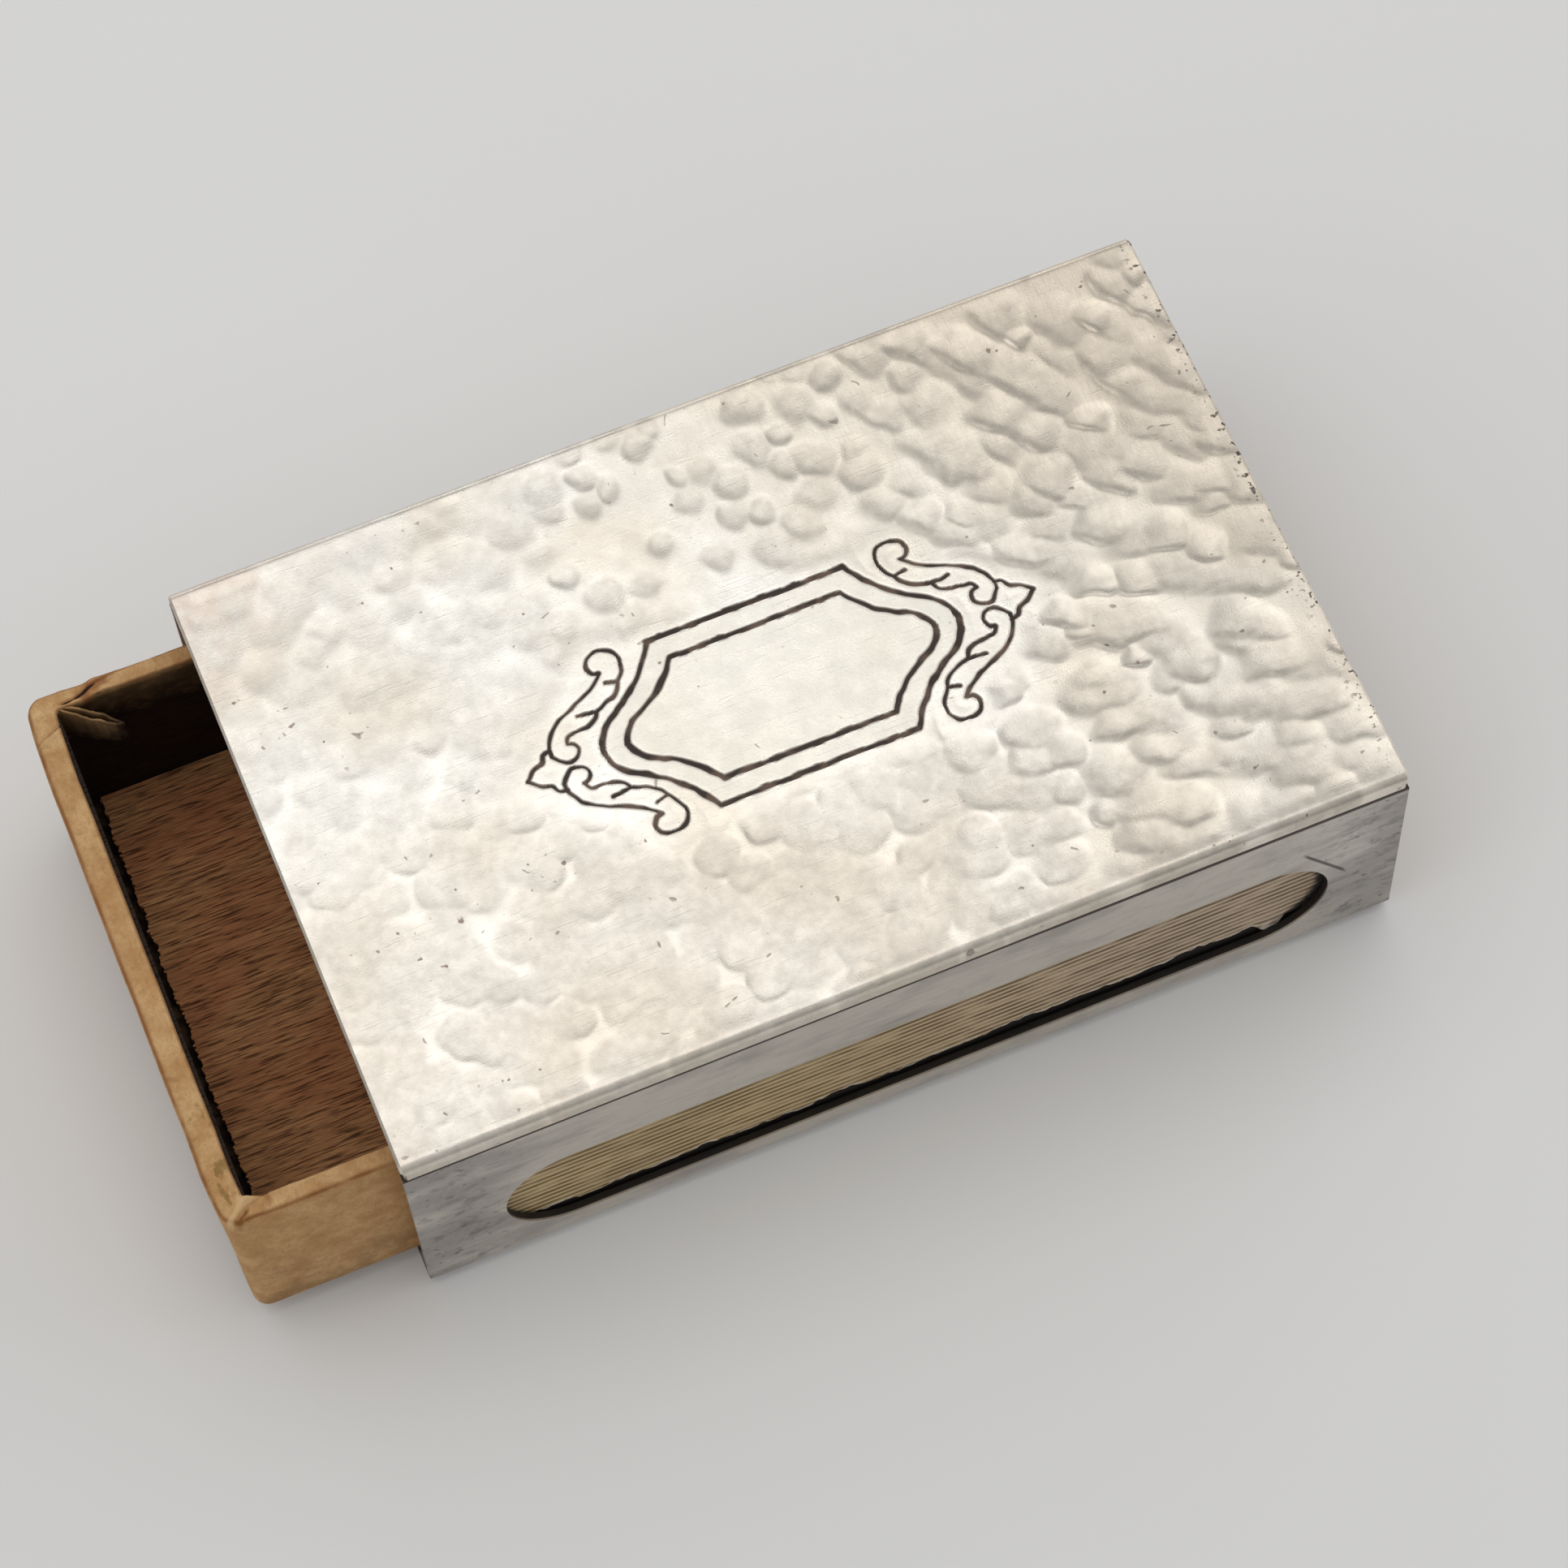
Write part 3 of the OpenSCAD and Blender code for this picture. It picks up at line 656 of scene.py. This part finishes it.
def plate_relief(x_lines, y):
    """Height of the plate's face over the flat sheet, on Y rows and X columns, and the masks on it."""
    xx, yy = np.meshgrid(x_lines, y)
    sway = 0.05 * mm
    distance, width = distance_to_ornament(
        xx + sway * soft_noise(xx, yy, 0.5 * mm, 14), yy + sway * soft_noise(xx, yy, 0.5 * mm, 15)
    )
    inside = inside_cartouche(xx, yy)
    field = np.maximum(inside, smooth_step((1.8 * mm - distance) / (1.5 * mm)))
    # The rows of each side lie at one Y, so a hair more for each row keeps them in order
    dents = hammering(x_lines, y + 1e-9 * np.arange(len(y)))
    # Tarnish in the dents, with painted shade on the near sides of those on the right
    dent_tarnish_and_shade = tarnish_and_shade_in_dents(xx, yy, dents) * (1 - field)
    # The dents fade out by the bends, at the ends and on the calm ground round the ornament
    fade = smooth_step((half_w - 0.35 * mm - abs(yy)) / (1.1 * mm))
    ends = smooth_step((half_len + 0.4 * mm - abs(xx)) / (1.6 * mm))
    relief = dents * fade * (0.35 + 0.65 * ends) * (1 - field)
    half_line = width * (0.55 + 0.15 * soft_noise(xx, yy, 0.6 * mm, 12))
    groove = smooth_step((half_line + 0.02 * mm - distance) / (0.05 * mm))
    relief -= engraved_depth * groove
    relief += 0.03 * mm * soft_noise(xx, yy, 5 * mm, 13) * (1 - 0.8 * field) * fade
    relief += 0.012 * mm * soft_noise(xx, yy, 1.3 * mm, 16) * (1 - field) * fade
    return relief, {"groove": groove, "dent_tarnish_and_shade": dent_tarnish_and_shade, "field": inside}


def plate_faces(rows, columns, inner_rows):
    """Faces of the outer grid and the coarser inner one, closed along the seams and the ends."""
    start = rows * columns
    faces = grid_faces(rows, columns)
    faces += [face[::-1] for face in grid_faces(inner_rows, columns, start)]
    for c in range(columns - 1):
        faces.append([c + 1, c, start + c, start + c + 1])
        far = (rows - 1) * columns + c
        far_in = start + (inner_rows - 1) * columns + c
        faces.append([far, far + 1, far_in + 1, far_in])
    for c, turn in ((0, 1), (columns - 1, -1)):
        ring = [r * columns + c for r in range(rows)]
        ring += [start + r * columns + c for r in reversed(range(inner_rows))]
        faces.append(ring[::turn])
    return faces


def top_plate():
    x_lines = spaced(half_len, 15.4 * mm, 0.14 * mm, 0.06 * mm)
    y, z, out_y, out_z = plate_profile()
    relief, masks = plate_relief(x_lines, y)
    xx, yy = np.meshgrid(x_lines, y)
    # Worn edges and corners, and the slight crown of the sheet
    edge_r = 0.14 * mm
    past = np.clip(abs(xx) - (half_len - edge_r), 0, edge_r)
    relief -= edge_r - np.sqrt(edge_r**2 - past**2)
    over = np.clip(abs(yy) - (half_w - edge_r), 0, edge_r)
    end_x = half_len - edge_r + np.sqrt(edge_r**2 - over**2)
    crown = 0.10 * mm * (1 - (xx / half_len) ** 2)
    outer = np.stack([
        xx * end_x / half_len,
        yy + relief * out_y[:, None],
        z[:, None] + relief * out_z[:, None] + crown * smooth_step((z - seam_z) / bend_r)[:, None],
    ], 2)
    count = len(y)
    bend_end = side_rows + bend_rows
    inner_rows = np.r_[
        0:side_rows, side_rows:bend_end:3, count // 2, count - bend_end : count - side_rows : 3,
        count - side_rows : count,
    ]
    inner = outer[inner_rows].copy()
    inner[:, :, 1] = (y - sheet_t * out_y)[inner_rows, None]
    inner[:, :, 2] = (z - sheet_t * out_z)[inner_rows, None]
    points = np.vstack([outer.reshape(-1, 3), inner.reshape(-1, 3)])
    faces = plate_faces(count, len(x_lines), len(inner_rows))
    piece = make_piece(
        "top_plate_skin", points, faces, hammered_silver(),
        "cover", "hammered_silver", "cover_top_plate",
    )
    for name, outside in masks.items():
        mask(piece, name, np.concatenate([outside.ravel(), np.zeros(inner.size // 3)]))
    sharpen(piece)


# Silver channel under the plate

def channel():
    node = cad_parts["cover_channel"]
    node.data.materials.clear()
    node.data.materials.append(satin_silver())
    bevel = node.modifiers.new("worn_edges", "BEVEL")
    bevel.width = 0.08 * mm
    bevel.segments = 2
    bevel.limit_method = "ANGLE"
    bevel.angle_limit = math.radians(50)
    bevel.harden_normals = False
    bevel.use_clamp_overlap = True


# Striking strips, with a torn lower edge and a flake hanging from it

def striker(name, node, material, flake_h=0.0):
    """A strip that is torn along its lower edge, with a flake of this height hanging from it."""
    low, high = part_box(node)
    x = np.linspace(low.x, high.x, 900)
    along = (x - low.x) / (high.x - low.x)
    tear = 0.55 + 0.45 * along
    tear += 0.28 * soft_noise(x, 0 * x, 2.1 * mm, 31) + 0.14 * soft_noise(x, 0 * x, 0.4 * mm, 32)
    flake_x = 21.6 * mm
    flake_half = 0.75 * mm
    flake = np.exp(-(((x - flake_x) / flake_half) ** 4))
    bottom = low.z + np.clip(tear * mm - flake_h * flake, 0, 2 * mm)
    heights = np.linspace(0, 1, 14)[:, None] ** 2
    z = bottom + heights * (high.z - bottom)
    outward = -1 if low.y < 0 else 1
    lifted = outward * 0.16 * flake_h * flake * (1 - heights) ** 8
    points = []
    for y in (low.y, high.y):
        face = np.stack([np.broadcast_to(x, z.shape), y + lifted, z], 2)
        points.append(face.reshape(-1, 3))
    piece = make_piece(
        name, np.vstack(points), slab_faces(*z.shape), material,
        "matchbox_sleeve", "striking_strip", node,
    )
    frayed = smooth_step(1 - (z - bottom) / (0.16 * mm))
    if flake_h:
        frayed = np.maximum(frayed, flake * smooth_step(1 - (z - bottom) / mm))
    mask(piece, "torn", np.concatenate([frayed, frayed]))
    sharpen(piece)


# Kraft paper round the tray: outside, over the rim, down inside it and in under the base

rim_z = tray_high.z
tray_mid = (tray_low + tray_high) / 2
tray_len = tray_high.x - tray_low.x
tray_w = tray_high.y - tray_low.y
end_wall_t = 1.6 * mm
side_wall_t = 1.1 * mm
tray_corner_r = 0.9 * mm
tray_edge_r = 0.45 * mm
fold_in = 3.5 * mm
fold_under = 6 * mm
long_side_points = 480
short_side_points = 290


def corner_ring(inset_x, inset_y, r):
    """Points round a rectangle with round corners, the same number for every inset."""
    half_x = tray_len / 2 - inset_x - r
    half_y = tray_w / 2 - inset_y - r
    arcs = []
    for quarter, (side_x, side_y) in enumerate(((1, 1), (-1, 1), (-1, -1), (1, -1))):
        turn = (quarter + np.linspace(0, 1, 13)) * math.pi / 2
        arc_x = side_x * half_x + r * np.cos(turn)
        arc_y = side_y * half_y + r * np.sin(turn)
        arcs.append(np.stack([arc_x, arc_y], 1))
    points = []
    counts = (long_side_points, short_side_points) * 2
    for arc, following, count in zip(arcs, arcs[1:] + arcs[:1], counts):
        share = np.linspace(0, 1, count)[1:-1, None]
        points += [arc, arc[-1] * (1 - share) + following[0] * share]
    return np.vstack(points) + (tray_mid.x, tray_mid.y)


def paper_rows(outer, inner, under):
    """Rows of the paper's closed section: up the outside, over the rim, down inside and back under.

    Each row is its points, how dark its fold line is, and how much painted shade it has inside the tray.
    """
    across = inner - outer
    wall_t = np.linalg.norm(across, axis=1, keepdims=True)
    across = across / wall_t
    low, r, low_r = tray_low.z, tray_edge_r, 0.2 * mm
    ragged = 0.35 * mm * soft_noise(outer[:, :1], outer[:, 1:], 1.3 * mm, 51)
    ragged += 0.15 * mm * soft_noise(outer[:, :1], outer[:, 1:], 0.4 * mm, 52)
    rows = []

    def row(depth, z, edge=0.0, inner_shade=0.0):
        height = np.broadcast_to(z, (len(outer), 1))
        rows.append((np.hstack([outer + across * depth, height]), edge, inner_shade))

    def under_row(z, inner_shade):
        rows.append((np.hstack([under, np.full((len(under), 1), z)]), 0, inner_shade))

    under_row(low, 0)
    for angle in np.radians(np.linspace(-90, 0, 5)):
        row(low_r - low_r * math.cos(angle), low + low_r + low_r * math.sin(angle))
    for z in np.linspace(low + low_r, rim_z - r, 14)[1:]:
        row(0, z)
    for angle in np.radians(np.linspace(0, 90, 9)[1:]):
        row(r - r * math.cos(angle), rim_z - r + r * math.sin(angle), math.sin(2 * angle) ** 4)
    soft = 0.14 * mm
    for share in np.linspace(0, 1, 14)[1:]:
        row(r + (wall_t - r - soft) * share, rim_z)
    # From the rim's inner edge down inside, the paper gets painted shade, black lower down
    for angle in np.radians(np.linspace(90, 0, 4)[1:]):
        row(wall_t - soft + soft * math.cos(angle), rim_z - soft + soft * math.sin(angle), 0.4, 0.15)
    for share in np.linspace(0, 1, 8)[1:]:
        row(wall_t, rim_z - soft - (fold_in - soft + ragged) * share, 0, 0.72 + 0.27 * math.sqrt(share))
    for share in np.linspace(1, 0, 3):
        row(wall_t - kraft_t, rim_z - 2 * kraft_t - (fold_in - 2 * kraft_t + ragged) * share, 0, 1)
    row(2 * kraft_t, rim_z - kraft_t, 0, 1)
    for z in np.linspace(rim_z - r, low + r, 14):
        row(kraft_t, z, 0, 1)
    row(r, low + kraft_t, 0, 1)
    under_row(low + kraft_t, 1)
    return rows


def hump(distance, width):
    """A smooth ridge: 1 on its line and almost 0 a width away."""
    return np.exp(-((distance / width) ** 2))


def rim_lift(x, y, from_end, from_front, from_back, at_end, near_corner):
    """How far wear and creases lift the paper on the rim."""
    lift = 0.06 * mm * soft_noise(x, y, 1.9 * mm, 55) + 0.05 * mm * soft_noise(x, y, 0.7 * mm, 56)
    lift += 0.02 * mm * soft_noise(x, y, 0.25 * mm, 57)
    # Front corner: a mitred fold, raised on one side and pressed on the other, and a bump beside it
    corner = smooth_step((3.4 * mm - np.hypot(from_end, from_front)) / mm)
    mitre = from_end * 0.57 - from_front * 0.82
    lift += 0.20 * mm * corner * hump(mitre - 0.05 * mm, 0.16 * mm)
    lift -= 0.16 * mm * corner * hump(mitre - 0.42 * mm, 0.13 * mm)
    bump_x, bump_y = from_end - 1.75 * mm, from_front - 1.0 * mm
    lift += 0.30 * mm * hump(np.hypot(bump_x * 0.75, bump_y), 0.42 * mm)
    lift -= 0.14 * mm * hump(np.hypot(bump_x - 0.75 * mm, (bump_y + 0.2 * mm) * 0.5), 0.2 * mm)
    # Back corner: a crease across the end wall's rim, and a waving one along the side wall's
    fold = from_back - 2.1 * mm + 0.45 * (from_end - 1.6 * mm)
    lift -= 0.15 * mm * hump(fold, 0.11 * mm) * at_end
    lift += 0.10 * mm * hump(fold - 0.25 * mm, 0.15 * mm) * at_end
    lift += 0.10 * mm * soft_noise(x, y, 0.6 * mm, 65) * near_corner
    side_fold = from_back - 0.55 * mm - 0.35 * mm * np.sin(from_end / (1.1 * mm))
    lift -= 0.13 * mm * hump(side_fold, 0.10 * mm) * near_corner * smooth_step((from_end - mm) / mm)
    return lift


def crumple(points):
    """Moves the paper as wear has, and says how far its rim is lifted.

    The open end leans out, faces wander, and two corners are creased.
    """
    x, y, z = points.T
    height = (z - tray_low.z) / (rim_z - tray_low.z)
    from_end = x - tray_low.x
    from_front = y - tray_low.y
    from_back = tray_high.y - y
    at_end = smooth_step((2.2 * mm - from_end) / (0.6 * mm))
    near_corner = smooth_step((7 * mm - from_end) / (3 * mm))
    near_corner *= smooth_step((2 * mm - from_back) / (0.5 * mm))
    low_side = smooth_step(height / 0.15)
    slack = 1 - (abs(y) / (tray_w / 2)) ** 8
    lean = 0.35 * mm * height**2 * (0.35 + 0.65 * slack)
    x = x - (lean + 0.04 * mm * (1 - soft_noise(y, z, 2.7 * mm, 53)) * low_side) * at_end
    outward = np.sign(y) * 0.04 * mm * (1 + soft_noise(x, z, 3.1 * mm, 54)) * low_side
    y = y + outward * (1 - at_end)
    lift = rim_lift(x, y, from_end, from_front, from_back, at_end, near_corner)
    lift *= smooth_step((height - 0.9) / 0.07)
    wobble = 0.16 * mm * soft_noise(x, 0 * x, 1.1 * mm, 66) * near_corner
    y = y + wobble * smooth_step((height - 0.6) / 0.4)
    return np.stack([x, y, z + lift], 1), lift


def tuck(start):
    """A pleat of loose paper that stands in from the back corner, open along its top.

    Gives its points, its faces, numbered from start, and how much painted shade each point has.
    """
    length, t = 3.6 * mm, 0.11 * mm
    turn = math.radians(-33)
    out = np.linspace(-0.12, 1, 22)
    gap = 0.20 * mm * np.sqrt(np.clip(np.sin(math.pi * np.clip(out, 0, 1)), 0.02, 1))
    sway = 0.05 * mm * soft_noise(out, 0 * out, 0.17, 58)
    middle = np.concatenate([
        np.stack([out * length, gap + sway], 1),
        np.stack([out * length * 0.97, sway - gap * 1.1], 1)[::-1],
    ])
    along = np.gradient(middle, axis=0)
    along /= np.linalg.norm(along, axis=1, keepdims=True)
    side = np.stack([-along[:, 1], along[:, 0]], 1)
    corner = np.array([tray_low.x + end_wall_t - 0.1 * mm, tray_high.y - side_wall_t + 0.05 * mm])
    spin = np.array([[math.cos(turn), math.sin(turn)], [-math.sin(turn), math.cos(turn)]])
    place = np.clip(middle[:, 0] / length, 0, 1)
    frayed = 0.06 * mm * scatter(np.arange(len(middle)), 0, 59)
    top = rim_z - 0.10 * mm - 0.75 * mm * place**1.4 + frayed
    bottom = rim_z - 2.9 * mm + 0.5 * mm * place
    section = ((top, 0.1, 0.5), (top, 0.1, -0.5), (bottom, 0, -0.5), (bottom, 0, 0.5), (top, 0.1, 0.5))
    points = []
    for z, lean, offset in section:
        flat = (middle + side * (offset * t) + (0, lean * mm)) @ spin + corner
        points.append(np.hstack([flat, z[:, None]]))
    count = len(middle)
    faces = grid_faces(len(section), count, start)
    caps = [[start + r * count + c for r in range(4)][:: 1 if c else -1] for c in (0, count - 1)]
    # Painted shade on the pleat, black along its bottom
    along_top = 0.35 + 0.45 * place + 0.2 * scatter(np.arange(len(middle)) // 3, 1, 59)
    inner_shade = np.concatenate([along_top, along_top, 0 * place + 1, 0 * place + 1, along_top])
    return np.vstack(points), faces + caps, inner_shade


def tray_paper():
    outer = corner_ring(0, 0, tray_corner_r)
    inner = corner_ring(end_wall_t, side_wall_t, 0.4 * mm)
    under = corner_ring(fold_under, fold_under, 0.2 * mm)
    rows = paper_rows(outer, inner, under)
    rows.append(rows[0])
    skin = np.stack([np.vstack([place, place[:1]]) for place, _, _ in rows])
    count = skin.shape[1]
    faces = grid_faces(len(rows), count)
    skin, lift = crumple(skin.reshape(-1, 3))
    loose, loose_faces, loose_inner_shade = tuck(len(skin))
    piece = make_piece(
        "tray_kraft_paper", np.vstack([skin, loose]), faces + loose_faces, kraft_paper(),
        "matchbox_tray", "kraft_paper", "tray_paper",
    )
    # Pressed creases on the rim get painted shade, through the fold-line mask
    creased = smooth_step((-lift - 0.04 * mm) / (0.10 * mm))
    edge = np.maximum(np.repeat([edge for _, edge, _ in rows], count), creased)
    raised = smooth_step((lift - 0.05 * mm) / (0.15 * mm))
    mask(piece, "edge", np.concatenate([edge, np.zeros(len(loose))]))
    mask(piece, "raised", np.concatenate([raised, np.zeros(len(loose))]))
    # Black painted shade inside the tray and on the pleat
    mask(piece, "inner_shade", np.concatenate([np.repeat([inner_shade for _, _, inner_shade in rows], count), loose_inner_shade]))
    weld(piece)
    sharpen(piece, 50)


# Wooden base, its short ends torn along the grain

def tray_base():
    reach = 0.14 * mm
    y = np.linspace(base_low.y, base_high.y, 420)
    number = np.arange(len(y))
    comb = 0.10 * mm * scatter(np.floor(number / 2), 0, 61)
    comb += 0.12 * mm * soft_noise(y, 0 * y, 1.1 * mm, 62)
    furrow = 0.03 * mm * scatter(number, 0, 63) + 0.04 * mm * soft_noise(y, 0 * y, 0.9 * mm, 64)
    share = np.linspace(0, 1, 24)[:, None]
    x = (base_low.x + comb - reach) * (1 - share) + (base_high.x - comb[::-1] + reach) * share
    top = base_high.z + furrow - 0.06 * mm
    points = [np.stack(np.broadcast_arrays(x, y, z), 2).reshape(-1, 3) for z in (base_low.z, top)]
    piece = make_piece(
        "tray_base_veneer", np.vstack(points), slab_faces(*x.shape),
        wood("dark_veneer", srgb(226, 166, 112), srgb(168, 114, 76)),
        "matchbox_tray", "dark_veneer", "tray_base",
    )
    sharpen(piece, 50)


# Floor, lights and camera

def floor():
    s = Shader("pale_floor")
    cloud = s.noise(60, detail=1)
    s.set(Base_Color=s.mix(cloud, srgb(229, 229, 228), srgb(226, 225, 223)), Roughness=0.9)
    mesh = bpy.data.meshes.new("floor")
    # Just under the channel, so that the two don't lie in one plane
    height = -0.02 * mm
    reach = 3
    corners = [(x * reach, y * reach, height) for x, y in ((-1, -1), (1, -1), (1, 1), (-1, 1))]
    mesh.from_pydata(corners, [], [(0, 1, 2, 3)])
    mesh.materials.append(s.material)
    made = bpy.data.objects.new("floor", mesh)
    bpy.context.scene.collection.objects.link(made)


def softbox(name, at, aim, width, height, power):
    """A rectangular lamp: its place, the point it faces, its size in metres and its power in watts."""
    data = bpy.data.lights.new(name, "AREA")
    data.shape = "RECTANGLE"
    data.size = width
    data.size_y = height
    data.energy = power
    lamp = bpy.data.objects.new(name, data)
    lamp.location = at
    lamp.rotation_mode = "QUATERNION"
    lamp.rotation_quaternion = (Vector(aim) - Vector(at)).to_track_quat("-Z", "Y")
    bpy.context.scene.collection.objects.link(lamp)


def lights():
    # Surroundings that brighten from below to above
    world = bpy.data.worlds.new("studio")
    world.use_nodes = True
    nodes, links = world.node_tree.nodes, world.node_tree.links
    level = nodes.new("ShaderNodeMapRange")
    for name, value in (("From Min", 0), ("From Max", 1), ("To Min", 0.27), ("To Max", 0.67)):
        level.inputs[name].default_value = value
    height = nodes.new("ShaderNodeSeparateXYZ")
    links.new(nodes.new("ShaderNodeTexCoord").outputs["Generated"], height.inputs[0])
    links.new(height.outputs["Z"], level.inputs["Value"])
    nodes["Background"].inputs["Color"].default_value = (1, 1, 1, 1)
    links.new(level.outputs[0], nodes["Background"].inputs["Strength"])
    bpy.context.scene.world = world
    softbox("overhead", at=(-0.115, 0.115, 0.5), aim=(-0.115, 0.115, 0), width=0.57, height=0.43, power=0.57)
    softbox("side", at=(0.95, 0.25, 0.34), aim=(0, 0, 0), width=1.8, height=0.6, power=4.3)
    softbox("fill", at=(-0.85, -0.25, 0.42), aim=(0, 0, 0), width=0.6, height=0.5, power=0.8)
    softbox("back", at=(0.1, 0.95, 0.25), aim=(0, 0, 0.02), width=0.9, height=0.25, power=0.9)


# The photograph's view, fitted to the cover's corners: angles in degrees, lens in millimetres
view_azimuth = -18.22
view_elevation = 64.13
view_roll = 4.58
view_distance = 260.1 * mm
view_aim = (-2.07 * mm, -5.65 * mm, top_z)
lens = 111.8


def camera():
    a, e, r = (math.radians(v) for v in (view_azimuth, view_elevation, view_roll))
    back = Vector((math.sin(a) * math.cos(e), -math.cos(a) * math.cos(e), math.sin(e)))
    level = Vector((math.cos(a), math.sin(a), 0))
    rise = back.cross(level)
    right = level * math.cos(r) - rise * math.sin(r)
    up = rise * math.cos(r) + level * math.sin(r)
    data = bpy.data.cameras.new("photo_view")
    data.lens = lens
    data.sensor_width = 36
    data.clip_start = 0.01
    made = bpy.data.objects.new("photo_view", data)
    turn = Matrix((right, up, back)).transposed().to_4x4()
    made.matrix_world = Matrix.Translation(Vector(view_aim) + back * view_distance) @ turn
    bpy.context.scene.collection.objects.link(made)
    bpy.context.scene.camera = made


def dress(node, material):
    """Gives a solid that keeps its shape its material."""
    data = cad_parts[node].data
    data.materials.clear()
    data.materials.append(material)


camera()
lights()
floor()
top_plate()
channel()
striking = striking_paper()
striker("striking_strip_front", "striker_front", striking, flake_h=0.75 * mm)
striker("striking_strip_back", "striker_back", striking)
dress("sleeve_shell", wood("sleeve_veneer", srgb(208, 180, 136), srgb(184, 152, 108), 0.6))
dress("sleeve_paper", sleeve_paper())
tray_paper()
tray_base()
# The wall strip shows only inside the tray, so its veneer is made very dark as painted shade
dress("tray_wall_strip", wood("wall_veneer_in_painted_shade", srgb(58, 42, 30), srgb(34, 24, 18)))

bpy.context.scene.view_settings.view_transform = "Standard"
